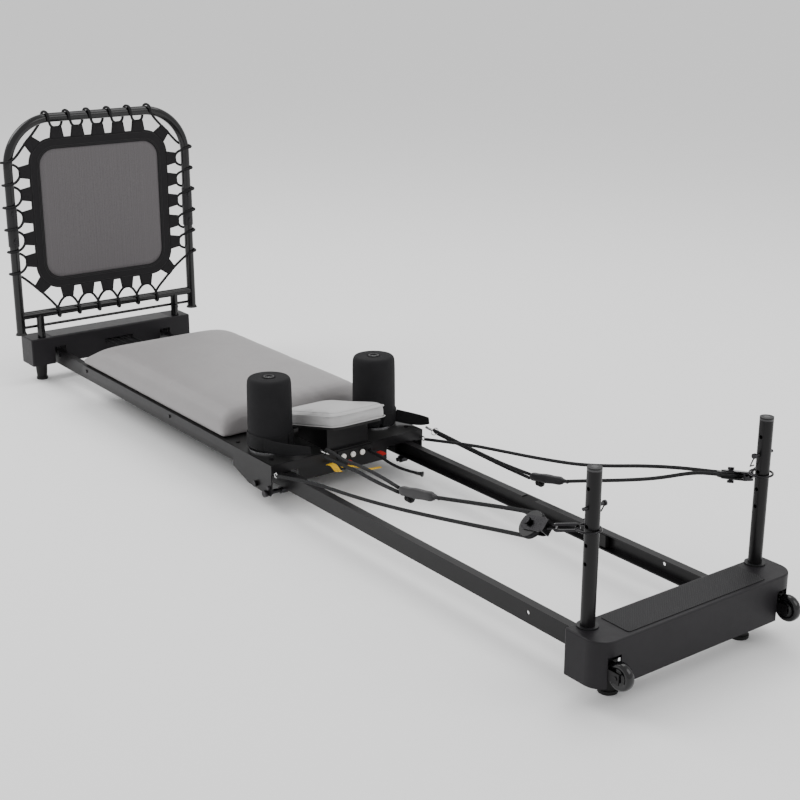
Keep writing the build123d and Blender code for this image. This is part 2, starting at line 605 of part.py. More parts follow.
# ---------------------------------------------------------------- rebounder
def rebounder():
    corners = [(-HOOP_Y, HOOP_SPLIT), (-HOOP_Y, HOOP_TOP), (HOOP_Y, HOOP_TOP), (HOOP_Y, HOOP_SPLIT)]
    path = FilletPolyline(*[(HOOP_X, y, z) for y, z in corners], radius=HOOP_BEND)
    section = Plane(origin=path @ 0, z_dir=path % 0) * (Circle(HOOP_R) - Circle(HOOP_R - 1.6))
    save("hoop_upper", sweep(section, path))

    upright = rod_z(HOOP_X, -HOOP_Y, (HOOP_FOOT, HOOP_SPLIT - 0.2), HOOP_R)
    upright -= rod_z(HOOP_X, -HOOP_Y, (HOOP_FOOT + 70, HOOP_SPLIT + 1), HOOP_R - 1.6)
    bar = rod_y(HOOP_X, (-HOOP_Y, HOOP_Y), CROSSBAR_Z, 11)
    stub = rod_z(HOOP_X, -STUB_Y, (90, CROSSBAR_Z), 11)
    retainer = rod_y(HOOP_X - 17, (-HOOP_Y - 4, HOOP_Y + 4), RETAINER_Z, 4)
    save("hoop_lower", both(upright) + bar + both(stub), retainer)

    sleeve = rod_z(HOOP_X, -HOOP_Y, (400, 510), HOOP_R + 2.4)
    sleeve -= rod_z(HOOP_X, -HOOP_Y, (399, 511), HOOP_R + 0.05)
    save("hoop_sleeves", *pair(sleeve))
    bolts = []
    for z in (416, 494):
        bolts += pair(rod_x((HOOP_X - 19.2, HOOP_X - 15.2), -HOOP_Y, z, 6))
        bolts += pair(rod_x((HOOP_X + 15.2, HOOP_X + 19.2), -HOOP_Y, z, 6))
    bolts += pair(rod_x((HOOP_X + 11.1, HOOP_X + 16), -STUB_Y, RETAINER_Z, 5))
    save("hoop_bolts", *bolts)
    save("hoop_end_caps", *pair(Pos(HOOP_X, -HOOP_Y, HOOP_FOOT - 3) * Cone(16.5, 13.5, 6)))


def rounded_plate(half, corner, thickness):
    """Rounded square in the hoop's plane, centred on the mat."""
    face = MAT_PLANE * RectangleRounded(2 * half, 2 * half, corner)
    return extrude(face, thickness / 2, both=True)


def mat():
    save("mat_mesh", rounded_plate(MESH_HALF + 4, 48, 1.2))
    border = rounded_plate(MAT_HALF, 72, 4) - rounded_plate(MESH_HALF, 46, 6)
    save("mat_border", border - rounded_plate(MESH_HALF + 4.2, 48.2, 1.6))

    outline = Polyline((-20, 0), (20, 0), (15, TAB_LENGTH), (-15, TAB_LENGTH), close=True)
    tab = extrude(make_face(outline), 1.5, both=True)
    corner_reach = MAT_HALF * math.sqrt(2) - 72 * (math.sqrt(2) - 1)
    tabs = []
    for quarter in range(4):
        for place in range(-2, 3):
            tabs.append(MAT_PLANE * Rot(0, 0, 90 * quarter) * Pos(place * TAB_PITCH, MAT_HALF + 0.3, 0) * tab)
        tabs.append(MAT_PLANE * Rot(0, 0, 90 * quarter + 45) * Pos(0, corner_reach + 0.3, 0) * tab)
    save("mat_tabs", *tabs)


def lace(y, z, along, inward, tube_r):
    """One lace: a turn round the hoop's tube and two legs to the tabs on either side."""
    hub = Vector(HOOP_X, y, z)
    piece = Plane(origin=hub, z_dir=along) * Torus(tube_r + 3.2, 2.7)
    start = hub + inward * (tube_r + 3.2)
    reach = abs((Vector(HOOP_X, 0, MAT_Z) - hub).dot(inward)) - MAT_HALF - TAB_LENGTH - 3.6
    for swing in (-1, 1):
        piece += rod_between(tuple(start), tuple(hub + inward * reach + along * (swing * 18)), 2.7)
    return piece


def lacing():
    """Bungee cord between the tabs and the hoop, one lace between each two tabs."""
    laces = []
    up = Vector(0, 0, 1)
    across = Vector(0, 1, 0)
    for place in (-1.5, -0.5, 0.5, 1.5):
        z = MAT_Z + place * TAB_PITCH
        tube_r = HOOP_R + 2.5 if 395 < z < 515 else HOOP_R
        laces.append(lace(-HOOP_Y, z, up, across, tube_r))
        laces.append(lace(HOOP_Y, z, up, -across, tube_r))
        laces.append(lace(place * TAB_PITCH, HOOP_TOP, across, -up, HOOP_R))
        laces.append(lace(place * TAB_PITCH, CROSSBAR_Z, across, up, 11))
    save("bungee_lacing", *laces)


# ---------------------------------------------------------------- transport wheels
def transport_wheels():
    y = -RISER_Y
    wheel = fillet(rod_y(TRANSPORT_X, (y - 9, y + 9), TRANSPORT_Z, TRANSPORT_R).edges(), 6)
    wheel -= rod_y(TRANSPORT_X, (y - 10, y + 10), TRANSPORT_Z, 4.06)
    for side in SIDES:
        save(f"transport_wheel_{side}", handed(wheel, side))
    axle = rod_y(TRANSPORT_X, (y - 15, y + 15), TRANSPORT_Z, 4)
    fork = block((HEAD_END - 32, HEAD_END - 29.5), (y - 13.7, y + 13.7), (62, 86.8))
    for offset in (-12.5, 12.5):
        fork += block((HEAD_END - 30, TRANSPORT_X + 8), (y + offset - 1.2, y + offset + 1.2), (62, 82))
    fork -= rod_y(TRANSPORT_X, (y - 20, y + 20), TRANSPORT_Z, 4.02)
    save("transport_forks", *pair(fork), *pair(axle))


os.makedirs("parts", exist_ok=True)
head_base()
foot_base()
rails()
risers()
pulleys()
carriage_frame()
running_gear()
padding()
shoulder_rests()
cord_hardware()
ropes()
rebounder()
mat()
lacing()
transport_wheels()
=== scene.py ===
import math

import bmesh
import bpy
import numpy as np
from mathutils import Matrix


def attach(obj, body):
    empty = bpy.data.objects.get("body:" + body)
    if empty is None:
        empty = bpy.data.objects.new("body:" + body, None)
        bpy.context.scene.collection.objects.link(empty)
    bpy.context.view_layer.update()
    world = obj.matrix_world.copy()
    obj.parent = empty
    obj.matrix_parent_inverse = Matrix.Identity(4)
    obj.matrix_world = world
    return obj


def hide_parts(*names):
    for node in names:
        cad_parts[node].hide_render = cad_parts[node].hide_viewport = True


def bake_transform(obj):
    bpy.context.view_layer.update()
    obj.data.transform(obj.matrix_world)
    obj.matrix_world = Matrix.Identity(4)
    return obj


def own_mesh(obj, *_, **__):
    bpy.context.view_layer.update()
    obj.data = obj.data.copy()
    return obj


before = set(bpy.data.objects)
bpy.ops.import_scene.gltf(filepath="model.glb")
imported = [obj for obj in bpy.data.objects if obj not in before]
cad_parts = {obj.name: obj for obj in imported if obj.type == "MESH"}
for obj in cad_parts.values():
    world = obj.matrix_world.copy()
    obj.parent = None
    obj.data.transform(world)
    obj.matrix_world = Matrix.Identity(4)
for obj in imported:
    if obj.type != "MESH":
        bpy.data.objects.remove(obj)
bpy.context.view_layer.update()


# ---------------------------------------------------------------- camera, floor and light
# A long lens looks down the machine from the head end. The floor and the surroundings are plain
# and pale, and three broad lamps give the soft highlights of a studio.
CAMERA_PLACE = (2.6208, -1.7351, 1.2187)
CAMERA_AZIMUTH = math.radians(53.377)
CAMERA_ELEVATION = math.radians(18.011)
CAMERA_ROLL = math.radians(-0.065)
CAMERA_LENS = 64.09
FLOOR_REACH = 60
FLOOR_DROP = 0.0005

camera = bpy.data.objects.new("camera", bpy.data.cameras.new("camera"))
bpy.context.scene.collection.objects.link(camera)
bpy.context.scene.camera = camera
camera.data.lens = CAMERA_LENS
camera.data.sensor_width = 36
camera.data.clip_end = 200
camera.location = CAMERA_PLACE
camera.rotation_euler = (math.pi / 2 - CAMERA_ELEVATION, CAMERA_ROLL, CAMERA_AZIMUTH)

world = bpy.data.worlds.new("surroundings")
bpy.context.scene.world = world
world.use_nodes = True
world.node_tree.nodes["Background"].inputs["Color"].default_value = (1, 1, 1, 1)
world.node_tree.nodes["Background"].inputs["Strength"].default_value = 1.0


def lamp(name, place, aim, size, watts):
    """Square area light at a place, turned to face a point."""
    light = bpy.data.lights.new(name, "AREA")
    light.size = size
    light.energy = watts
    holder = bpy.data.objects.new(name, light)
    bpy.context.scene.collection.objects.link(holder)
    holder.location = place
    back = np.array(place, float) - np.array(aim, float)
    turn = math.atan2(back[0], -back[1])
    tip = math.acos(back[2] / np.linalg.norm(back))
    holder.rotation_euler = (tip, 0, turn)


lamp("window", (-2.6, -2.2, 3.6), (0, 0, 0.2), 2.6, 110)
lamp("fill", (3.2, 1.6, 2.6), (0.4, 0, 0.2), 2.2, 35)
lamp("overhead", (-0.6, 1.6, 3.6), (-0.4, 0, 0.2), 2.4, 45)

floor_mesh = bpy.data.meshes.new("floor")
floor_signs = ((-1, -1), (1, -1), (1, 1), (-1, 1))
floor_corners = [(x * FLOOR_REACH, y * FLOOR_REACH, -FLOOR_DROP) for x, y in floor_signs]
floor_mesh.from_pydata(floor_corners, [], [(0, 1, 2, 3)])
floor = bpy.data.objects.new("floor", floor_mesh)
bpy.context.scene.collection.objects.link(floor)
paper = bpy.data.materials.new("white paper")
paper.use_nodes = True
paper.node_tree.nodes["Principled BSDF"].inputs["Base Color"].default_value = (.93, .93, .93, 1)
paper.node_tree.nodes["Principled BSDF"].inputs["Roughness"].default_value = .9
paper.node_tree.nodes["Principled BSDF"].inputs["Specular IOR Level"].default_value = .1
floor_mesh.materials.append(paper)


# ---------------------------------------------------------------- ropes
# Two braided polyester ropes, one a side, 7.5 mm. Each runs from an eye at the carriage's head
# end, half round its pulley and back to a sliding adjuster, and a loop goes on to the clip.
ROPE = 0.0075
ROPE_TURNS = {
    "near": {
        "out": [(.112, -.204, .090), (.256, -.214, .126), (.420, -.226, .150), (.605, -.238, .184),
                (.806, -.2521, .2285), (.972, -.2598, .2655)],
        "wrap": [(1.0044, -.2622, .2719), (1.0147, -.2462, .2908), (.9988, -.2290, .3040)],
        "back": [(.966, -.2283, .2958), (.898, -.2251, .2807), (.800, -.229, .260), (.7086, -.2320, .2403)],
        "cuts": (.974, .966),
        "clip": (.148, -.101, .133),
        "loop": [(.5956, -.2310, .2231), (.500, -.205, .211), (.380, -.166, .186), (.270, -.135, .160),
                 (.1562, -.0996, .1426), (.1444, -.0965, .1396), (.1450, -.1035, .1252),
                 (.1568, -.1075, .1265),
                 (.268, -.139, .150), (.378, -.171, .174), (.498, -.211, .198), (.5956, -.2310, .2139)],
        "upright": (0, 1, 0),
        "travel": .375,
    },
    "far": {
        "out": [(.112, .206, .090), (.262, .216, .118), (.360, .222, .131), (.498, .231, .149),
                (.628, .240, .171), (.812, .2545, .225), (.980, .2608, .2588)],
        "wrap": [(1.0117, .2633, .2649), (1.0248, .2410, .2723), (1.0116, .2177, .2744)],
        "back": [(.979, .2178, .2676), (.930, .216, .256), (.836, .223, .213), (.750, .228, .181),
                 (.666, .231, .153), (.5575, .2350, .1163)],
        "cuts": (.984, .979),
        "clip": (.127, .226, .108),
        "loop": [(.4497, .2340, .1001), (.370, .236, .095), (.260, .236, .098),
                 (.1373, .2207, .1133), (.1248, .2200, .1140), (.1223, .2312, .1028), (.1345, .2333, .1007),
                 (.262, .246, .088), (.372, .246, .084), (.4497, .2340, .0909)],
        "upright": (0, .7, .7),
        "travel": .566,
    },
}
CARRIAGE_TRAVEL = .68


def route_line(name, points, ring=False):
    """Centreline of a cord: a smooth NURBS spline on the route's points, read back as an array."""
    curve = bpy.data.curves.new(name, "CURVE")
    curve.dimensions = "3D"
    spline = curve.splines.new("NURBS")
    spline.points.add(len(points) - 1)
    spline.points.foreach_set("co", np.c_[np.array(points), np.ones(len(points))].ravel())
    spline.order_u = 3
    spline.use_endpoint_u = not ring
    spline.use_cyclic_u = ring
    spline.resolution_u = 10
    holder = bpy.data.objects.new(name, curve)
    mesh = bpy.data.meshes.new_from_object(holder)
    line = np.empty(len(mesh.vertices) * 3)
    mesh.vertices.foreach_get("co", line)
    bpy.data.objects.remove(holder)
    return line.reshape(-1, 3)


def patch(points, ring_u=False, ring_v=False, span=(1, 1), lids=False):
    """Grid of points as vertices, faces and face-corner UVs. Each face joins four neighbours,
    a ring direction joins its last row to its first, and UVs grow evenly to the given span."""
    rows, cols = points.shape[:2]
    index = np.arange(rows * cols).reshape(rows, cols)
    last_u = rows - (not ring_u)
    last_v = cols - (not ring_v)
    i, j = np.meshgrid(np.arange(last_u), np.arange(last_v), indexing="ij")
    corners = [(i, j), (i + 1, j), (i + 1, j + 1), (i, j + 1)]
    faces = np.stack([index[a % rows, b % cols] for a, b in corners], -1).reshape(-1, 4).tolist()
    uv = np.stack([np.stack([a * span[0] / last_u, b * span[1] / last_v], -1) for a, b in corners], 2)
    uv = uv.reshape(-1, 2)
    if lids:
        faces += [index[0, ::-1].tolist(), index[-1].tolist()]
        uv = np.vstack([uv, np.zeros((2 * cols, 2))])
    return points.reshape(-1, 3), faces, uv


def piece(name, patches, material, body=None, closed=True, smooth=True):
    """One object from several patches, its doubles merged and, when closed, its faces turned out."""
    vertices = np.vstack([p[0] for p in patches])
    starts = np.cumsum([0] + [len(p[0]) for p in patches[:-1]])
    faces = [[v + start for v in face] for p, start in zip(patches, starts.tolist()) for face in p[1]]
    mesh = bpy.data.meshes.new(name)
    mesh.from_pydata(vertices.tolist(), [], faces)
    layer = mesh.uv_layers.new(name="UVMap")
    layer.data.foreach_set("uv", np.vstack([p[2] for p in patches]).ravel())
    cleaner = bmesh.new()
    cleaner.from_mesh(mesh)
    bmesh.ops.remove_doubles(cleaner, verts=cleaner.verts, dist=2e-6)
    if closed:
        bmesh.ops.recalc_face_normals(cleaner, faces=cleaner.faces)
    cleaner.to_mesh(mesh)
    cleaner.free()
    mesh.shade_smooth() if smooth else mesh.shade_flat()
    mesh.materials.append(material)
    made = bpy.data.objects.new(name, mesh)
    bpy.context.scene.collection.objects.link(made)
    if body:
        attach(made, body)
    return made


def unit(vectors):
    return vectors / np.linalg.norm(vectors, axis=-1, keepdims=True)


def carried(tangents, side):
    """Side direction along a path: at each point the one before, less its part along the path."""
    sides = []
    for tangent in tangents:
        side = side - tangent * (side @ tangent)
        side = side / np.linalg.norm(side)
        sides.append(side)
    return np.array(sides)


def tube(line, radius, side, sides=10):
    """Round tube: at each point of the line, a circle of the radius in the plane across it."""
    line = np.array(line, float)
    tangents = unit(np.gradient(line, axis=0))
    across = carried(tangents, np.array(side, float))
    up = np.cross(tangents, across)
    angle = np.linspace(0, 2 * np.pi, sides, endpoint=False)[None, :, None]
    reach = np.broadcast_to(radius, len(line))[:, None, None]
    points = line[:, None] + reach * (np.cos(angle) * across[:, None] + np.sin(angle) * up[:, None])
    length = np.linalg.norm(np.diff(line, axis=0), axis=1).sum()
    return patch(points, ring_v=True, span=(length, 2 * np.pi * float(np.max(radius))), lids=True)


class Term:
    """A number that varies over a surface. Python's operators on it add Math nodes."""

    def __init__(self, finish, socket):
        self.finish = finish
        self.socket = socket

    def math(self, operation, *others):
        values = {0: self, **{place + 1: other for place, other in enumerate(others)}}
        return self.finish.node("ShaderNodeMath", {"operation": operation}, values)

    def __add__(self, other):
        return self.math("ADD", other)

    __radd__ = __add__

    def __mul__(self, other):
        return self.math("MULTIPLY", other)

    __rmul__ = __mul__

    def __sub__(self, other):
        return self.math("SUBTRACT", other)

    def __rsub__(self, other):
        return self * -1 + other

    def sin(self):
        return self.math("SINE")

    def above(self, edge):
        return self.math("GREATER_THAN", edge)


class Finish:
    """A surface finish: a principled shader with fixed values, to which nodes are added."""

    def __init__(self, name, **fixed):
        self.material = bpy.data.materials.new(name)
        self.material.use_nodes = True
        self.tree = self.material.node_tree
        self.shader = self.tree.nodes["Principled BSDF"]
        for key, value in fixed.items():
            self.shader.inputs[key.replace("_", " ").title().replace("Ior", "IOR")].default_value = value

    def node(self, kind, settings, values, output=0):
        """A node of a kind: its settings first, then the values or links of its sockets."""
        made = self.tree.nodes.new(kind)
        for key, value in settings.items():
            setattr(made, key, value)
        for key, value in values.items():
            if isinstance(value, Term):
                self.tree.links.new(value.socket, made.inputs[key])
            else:
                made.inputs[key].default_value = value
        return Term(self, made.outputs[output])

    def place(self):
        return self.node("ShaderNodeTexCoord", {}, {}, "Object")

    def uv(self):
        """The two UV numbers, in metres along and across the piece."""
        split = self.node("ShaderNodeSeparateXYZ", {}, {0: self.node("ShaderNodeTexCoord", {}, {}, "UV")})
        return split, Term(self, split.socket.node.outputs[1])

    def noise(self, scale, detail=2.0, roughness=0.5):
        values = {"Vector": self.place(), "Scale": scale, "Detail": detail, "Roughness": roughness}
        return self.node("ShaderNodeTexNoise", {}, values)

    def cells(self, scale, feature="F1"):
        settings = {"feature": feature}
        return self.node("ShaderNodeTexVoronoi", settings, {"Vector": self.place(), "Scale": scale})

    def blend(self, mask, low, high):
        """Colour between two colours by a mask."""
        made = self.node("ShaderNodeMix", {"data_type": "RGBA"}, {0: mask}, 2)
        made.socket.node.inputs[6].default_value = (*low, 1)
        made.socket.node.inputs[7].default_value = (*high, 1)
        return made

    def bump(self, height, depth, strength=1.0):
        """Presses a height from 0 to 1 into the surface, to a depth in metres."""
        values = {"Height": height, "Distance": depth, "Strength": strength}
        self.set("Normal", self.node("ShaderNodeBump", {}, values))

    def set(self, socket, term):
        self.tree.links.new(term.socket, self.shader.inputs[socket])
        return self


def braid(name, colour, light, pitch, around, strands):
    """Braided cord: two sets of strands wind round it both ways, and the height is the higher of
    their sine ridges; painted shade darkens the gaps and a painted highlight lightens the ridges."""
    made = Finish(name, roughness=0.75, specular_ior_level=0.2)
    along, across = made.uv()
    lead = along * (2 * math.pi / pitch)
    turn = across * (2 * math.pi * strands / around)
    ridge = (lead + turn).sin().math("MAXIMUM", (lead - turn).sin()) * 0.5 + 0.5
    # Painted shade and highlight: the colour follows the strand height, dark in the gaps and light on the
    # ridges.
    made.set("Base Color", made.blend(ridge, colour, light))
    made.bump(ridge, 0.0005, 0.8)
    return made.material


# The lighter colour is the painted highlight on the strand ridges, the darker one painted shade in the gaps.
rope_finish = braid("black braided rope", (.004, .004, .0045), (.014, .014, .015), .011, math.pi * ROPE, 3)

for side, rope in ROPE_TURNS.items():
    line = route_line("route", rope["out"] + rope["wrap"] + rope["back"])
    out_end, back_start = rope["cuts"]
    turn = int(np.argmax(line[:, 0]))
    first = int(np.argmax(line[:, 0] > out_end))
    second = turn + int(np.argmax(line[turn:, 0] < back_start))
    stretches = {"out": line[:first + 1], "turn": line[first:second + 1], "back": line[second:]}
    pieces = {}
    for part, stretch in stretches.items():
        made = piece(f"rope_{part}_{side}", [tube(stretch, ROPE / 2, rope["upright"])], rope_finish)
        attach(made, f"pulley_{side}" if part == "turn" else "frame")
        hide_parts(f"rope_{side}")
        pieces[part] = made
    start = stretches["out"][0]
    joint_x = stretches["out"][-1][0]
    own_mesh(pieces["out"], "carriage_slide", axis=(1, 0, 0), anchor=(joint_x, 0, 0),
              keep=1 - CARRIAGE_TRAVEL / (joint_x - start[0]))
    slide = CARRIAGE_TRAVEL * rope["travel"]
    anchor_x = stretches["back"][0][0]
    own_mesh(pieces["back"], "carriage_slide", axis=(1, 0, 0), anchor=(anchor_x, 0, 0),
              keep=max(1 - slide / (anchor_x - stretches["back"][-1][0]), .02))

    loop = route_line("route", rope["loop"])
    made = piece(f"clip_loop_{side}", [tube(loop, ROPE / 2, rope["upright"])], rope_finish, "frame")
    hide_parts(f"rope_loop_{side}")
    clip_x = rope["clip"][0]
    still_x = (rope["loop"][0][0] - rope["travel"] * clip_x) / (1 - rope["travel"])
    1 - CARRIAGE_TRAVEL / (still_x - clip_x)
    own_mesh(made)


# ---------------------------------------------------------------- elastic cords
# Three elastic cords run under the carriage from the foot base to a plate at the carriage's head
# end and pull it back. A fourth is unhooked and its end lies forward. Rubber with a woven cover.
CORD = 0.007
CORD_HEIGHT = 0.093
CORD_ROUTES = {
    "elastic_cord_near": [(-1.155, -.020, CORD_HEIGHT), (.0975, -.020, CORD_HEIGHT)],
    "elastic_cord_middle": [(-1.155, .006, CORD_HEIGHT), (.0975, .006, CORD_HEIGHT)],
    "elastic_cord_far": [(-1.155, .032, CORD_HEIGHT), (.0975, .032, CORD_HEIGHT)],
    "elastic_cord_loose": [(-1.155, .054, CORD_HEIGHT), (.1215, .054, CORD_HEIGHT), (.1615, .062, .078),
                           (.1985, .080, .067), (.2295, .094, .066)],
}
# The lighter colour is the painted highlight on the strand ridges, the darker one painted shade in the gaps.
cord_finish = braid("black elastic cord", (.004, .004, .004), (.013, .013, .014), .007, math.pi * CORD, 4)
for name, route in CORD_ROUTES.items():
    line = route_line("route", route) if len(route) > 2 else np.linspace(*np.array(route), 60)
    made = piece(name, [tube(line, CORD / 2, (0, 1, 0))], cord_finish)
    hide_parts("loose_cord" if "loose" in name else "resistance_cords")
    "fitting" if "loose" in name else "object"
    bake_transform(made)


# ---------------------------------------------------------------- bases
# Both bases are moulded black covers, finely grained, over a steel beam. A ribbed tread covers the
# head base, and the foot base has a two-part smooth panel. Cone legs and round feet carry them.
def coated(name, colour, roughness, grain, depth, spread=0.12, shine=0.3, **fixed):
    """Painted or moulded surface: a broad noise shifts the colour, a middle one the roughness,
    and a fine one is pressed in as grain."""
    made = Finish(name, specular_ior_level=shine, **fixed)
    colour = np.array(colour)
    made.set("Base Color", made.blend(made.noise(9, 3), colour * .78, colour * 1.25))
    made.set("Roughness", made.noise(55) * spread + (roughness - spread / 2))
    made.bump(made.noise(grain, 3), depth, .55)
    return made.material


def dress(material, *names):
    """Gives CAD nodes a material."""
    for name in names:
        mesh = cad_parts[name].data
        mesh.materials.clear()
        mesh.materials.append(material)


base_plastic = coated("moulded base plastic", (.0115, .0105, .0122), .46, 900, .00025, shine=.2)
dress(base_plastic, "head_base_cover", "foot_base_cover")
dress(coated("leg rubber", (.008, .008, .008), .62, 500, .0003), "floor_feet", "rail_stops")
dress(coated("panel plastic", (.010, .0095, .011), .4, 1200, .0001), "foot_top_panel")

tread = Finish("ribbed tread", roughness=.55, specular_ior_level=.25)
spots = tread.node("ShaderNodeSeparateXYZ", {}, {0: tread.place()})
rows = (spots * (2 * math.pi / .0052)).sin()
columns = (Term(tread, spots.socket.node.outputs[1]) * (2 * math.pi / .0052)).sin()
studs = (rows * columns).math("MAXIMUM", 0.0)
# Painted shade and highlight: the colour follows the stud height, darker between the studs and lighter on
# their tops.
tread.set("Base Color", tread.blend(studs, (.008, .0078, .0088), (.020, .019, .021)))
tread.bump(studs, .0009, .8)
dress(tread.material, "head_tread")


# ---------------------------------------------------------------- steelwork
# Rails, beams and the carriage's angles are rolled or folded steel with a black powder coat that
# has a fine orange-peel surface. The risers are cut tube with the same coat.
powder = coated("black powder coat", (.0050, .0046, .0052), .33, 420, .00018, shine=.24)
dress(powder, "rail_near", "rail_far", "head_frame", "foot_frame", "transport_forks")
dress(powder, "carriage_frame", "wheel_brackets", "side_hangers", "headrest_hinge", "headrest_wedge")
dress(powder, "cord_plates", "risers")

collar_plastic = coated("collar plastic", (.009, .009, .010), .45, 700, .0001)
cap_plastic = coated("grey cap plastic", (.055, .054, .056), .4, 700, .0001)
dress(collar_plastic, "riser_trim")
RISER = (1.0935, .210, .411)


def turned(profile, place, axis="z", sides=48):
    """Turned piece: a profile of radii and heights swept in a full circle about an axis."""
    radius, height = np.array(profile, float).T
    angle = np.linspace(0, 2 * np.pi, sides, endpoint=False)
    ring_a = radius[:, None] * np.cos(angle)
    ring_b = radius[:, None] * np.sin(angle)
    rise = np.broadcast_to(height[:, None], ring_a.shape)
    order = {"x": (rise, ring_a, ring_b), "y": (ring_b, rise, ring_a), "z": (ring_a, ring_b, rise)}[axis]
    points = np.stack(order, -1) + np.array(place)
    return patch(points, ring_v=True, span=(float(np.ptp(height)), 2 * np.pi * float(radius.max())))


CAP_PROFILE = [(0, -.004), (.0127, -.004), (.01275, -.001), (.0125, .0008), (.0116, .0018), (0, .0022)]
caps = [turned(CAP_PROFILE, (RISER[0], y, RISER[2])) for y in (-RISER[1], RISER[1])]
riser_caps = piece("riser_caps", caps, cap_plastic, "frame")


# ---------------------------------------------------------------- fixings and pins
# Bolts, nuts, axles and the height pins are zinc-plated steel, blackened or bright. Each height
# pin has a sprung wire bail that snaps round the riser and keeps the pin in its hole.
def plated(name, colour, roughness, streak):
    """Plated steel: streaks of roughness along the piece and a little tarnish in the colour."""
    made = Finish(name, metallic=1.0)
    colour = np.array(colour)
    made.set("Base Color", made.blend(made.noise(90, 3), colour * .7, colour * 1.15))
    made.set("Roughness", made.noise(streak, 4) * .25 + (roughness - .12))
    made.bump(made.noise(1500), .00005, .4)
    return made.material


dark_zinc = plated("blackened zinc", (.045, .044, .047), .32, 260)
bright_zinc = plated("bright zinc", (.52, .52, .53), .28, 300)
dress(dark_zinc, "rail_fixings", "wheel_axles", "lift_guides", "hoop_bolts")
dress(bright_zinc, "shoulder_posts")
dress(dark_zinc, "height_pin_near", "height_pin_far")
dress(powder, "carriage_screws")


# ---------------------------------------------------------------- pulleys
# Each pulley is a nylon sheave in a folded steel bracket. A quick link and a steel ring hang the
# bracket from its riser.
nylon = coated("black nylon", (.005, .005, .0056), .36, 600, .0001)
dress(nylon, "sheave_near", "sheave_far", "carriage_wheels_foot", "carriage_wheels_head")
dress(plated("pulley steel", (.030, .029, .031), .26, 200), "pulley_hanger_near", "pulley_hanger_far")


# ---------------------------------------------------------------- rope adjusters and clips
# An adjuster is a moulded nylon cleat that slides on the rope and jams it under a horn. The loop
# ends in a nickel-plated snap clip on the shoulder strap.
ADJUSTERS = {
    "near": ((.598, -.231, .219), (.707, -.232, .240)),
    "far": ((.452, .234, .096), (.556, .235, .116)),
}
dress(plated("nickel plate", (.62, .62, .62), .24, 350), "rope_hardware")
cleat_plastic = coated("cleat nylon", (.015, .0145, .016), .42, 800, .00012)


def blade(line, half_width, half_height, up, corner=4.0, sides=24):
    """Bar along a line: at each point a rounded rectangle, a superellipse of the corner power,
    with its own half width and half height."""
    line = np.array(line, float)
    tangents = unit(np.gradient(line, axis=0))
    lift = carried(tangents, np.array(up, float))
    across = np.cross(lift, tangents)
    angle = np.linspace(0, 2 * np.pi, sides, endpoint=False)
    wide = np.sign(np.cos(angle)) * np.abs(np.cos(angle)) ** (2 / corner)
    high = np.sign(np.sin(angle)) * np.abs(np.sin(angle)) ** (2 / corner)
    points = line[:, None] + np.array(half_width)[:, None, None] * wide[:, None] * across[:, None]
    points = points + np.array(half_height)[:, None, None] * high[:, None] * lift[:, None]
    return patch(points, ring_v=True, span=(1, 1), lids=True)


for side, (foot_hole, head_hole) in ADJUSTERS.items():
    foot_hole, head_hole = np.array(foot_hole), np.array(head_hole)
    share = np.sin(np.linspace(-np.pi / 2, np.pi / 2, 25)) / 2 + .5
    along = unit(head_hole - foot_hole)
    spine = foot_hole + share[:, None] * (head_hole - foot_hole)
    bluff = (1 - np.abs(2 * share - 1) ** 9) ** .5
    bluff = np.maximum(bluff, .3)
    waist = .0092 + .0006 * np.cos(4 * np.pi * share)
    bar = blade(spine, .0064 * bluff, waist * bluff, (0, 0, 1), corner=5)
    horn_share = np.linspace(0, 1, 14)
    horn_line = head_hole - along * .016 + horn_share[:, None] * along * .030
    horn_line[:, 2] += .004 * np.sin(np.pi * horn_share) - .003 * horn_share ** 2
    horn = blade(horn_line, .0046 - .0022 * horn_share, .0042 - .0026 * horn_share, (0, 0, 1))
    made = piece(f"cleat_{side}", [bar, horn], cleat_plastic, f"adjuster_{side}")
    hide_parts(f"rope_adjuster_{side}")

    wind = np.linspace(0, 2 * np.pi * 2.3, 60)
    knot_line = np.stack([wind * .0013 - .008, .0036 * np.cos(wind), -.0135 + .0030 * np.sin(wind)], -1)
    knot_line = foot_hole + along * .030 + knot_line
    knot = piece(f"rope_knot_{side}", [tube(knot_line, ROPE / 2, (1, 0, 0))], rope_finish, f"adjuster_{side}")


# ---------------------------------------------------------------- deck
# The carriage deck is a black-faced board let into the angle frame. It carries the pad, the
# headrest wedge and the two roller posts.
dress(coated("black board face", (.011, .011, .011), .36, 260, .0001, coat_weight=.1), "deck_board")
dress(coated("black plywood", (.014, .013, .013), .6, 320, .0002), "headrest_board")


# ---------------------------------------------------------------- bed pad
# The bed is dense foam under soft grey vinyl, stapled round a board. The foam crowns the top and
# slopes to a thin foot edge, and the vinyl is drawn into a shallow groove along each long side.
def rounded_outline(half_x, half_y, corner, count):
    """Rectangle with round corners, as points evenly spaced along its length."""
    quarter = np.linspace(0, np.pi / 2, 16)
    centres = [(half_x - corner, half_y - corner, 0), (corner - half_x, half_y - corner, 1),
               (corner - half_x, corner - half_y, 2), (half_x - corner, corner - half_y, 3)]
    arcs = [np.stack([x + corner * np.cos(quarter + turn * np.pi / 2),
                      y + corner * np.sin(quarter + turn * np.pi / 2)], -1) for x, y, turn in centres]
    walk = np.vstack(arcs + [arcs[0][:1]])
    run = np.r_[0, np.cumsum(np.linalg.norm(np.diff(walk, axis=0), axis=1))]
    even = np.linspace(0, run[-1], count, endpoint=False)
    return np.stack([np.interp(even, run, walk[:, k]) for k in (0, 1)], -1)


